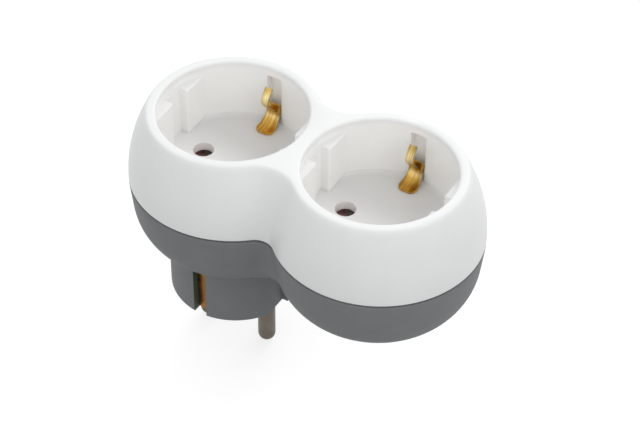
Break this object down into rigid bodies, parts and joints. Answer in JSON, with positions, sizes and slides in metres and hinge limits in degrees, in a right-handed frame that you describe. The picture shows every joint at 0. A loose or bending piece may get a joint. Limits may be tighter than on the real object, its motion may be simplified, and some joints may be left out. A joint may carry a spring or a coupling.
{
  "type": "multi socket adapter",
  "caption": "Earthed mains multi-socket adapter: a lobed white shell with round recessed sockets over a grey base, whose round plug carries the whole part in a wall socket.",
  "frame": {"origin": "middle of the plug's front face, halfway between its pins", "axes": "+Z out of the sockets, away from the wall; +X from the socket over the plug to the other socket, along the pin line; the plug's pins point along -Z"},
  "size_m": [0.0976, 0.0546, 0.077],
  "materials": {
    "shell_white": "satin moulded",
    "base_grey": "fine matt moulded",
    "pin_nickel": "nickel plated, dull",
    "earth_brass": "bright rolled strip",
    "contact_brass": "rolled strip",
    "carrier_ivory": "moulded",
    "shutter_maroon": "moulded",
    "spring_steel": "drawn wire",
    "screw_steel": "zinc plated"
  },
  "bodies": {
    "adapter": {"top_housing": "shell_white", "base_housing": "base_grey", "plug_pin_line": "pin_nickel", "plug_pin_neutral": "pin_nickel", "plug_earth_strap": "earth_brass", "earth_bracket_a": "earth_brass", "earth_bracket_b": "earth_brass", "earth_link": "earth_brass", "line_busbar": "contact_brass", "neutral_busbar": "contact_brass", "contact_sleeve_line_a": "contact_brass", "contact_sleeve_line_b": "contact_brass", "contact_sleeve_neutral_a": "contact_brass", "contact_sleeve_neutral_b": "contact_brass", "shutter_carrier_a": "carrier_ivory", "shutter_carrier_b": "carrier_ivory", "shutter_spring_a": "spring_steel", "shutter_spring_b": "spring_steel", "case_screw_front": "screw_steel", "case_screw_back": "screw_steel"},
    "shutter_a": {"shutter_a": "shutter_maroon"},
    "shutter_b": {"shutter_b": "shutter_maroon"}
  },
  "joints": [
    {"name": "shutter_a_slide", "type": "slide", "parent": "adapter", "child": "shutter_a", "axis": [0, -1, 0], "range_m": [0, 0.006], "stiffness_N_per_m": 40, "springref_m": -0.008, "deforming": ["shutter_spring_a"]},
    {"name": "shutter_b_slide", "type": "slide", "parent": "adapter", "child": "shutter_b", "axis": [0, -1, 0], "range_m": [0, 0.006], "stiffness_N_per_m": 40, "springref_m": -0.008, "deforming": ["shutter_spring_b"]}
  ]
}
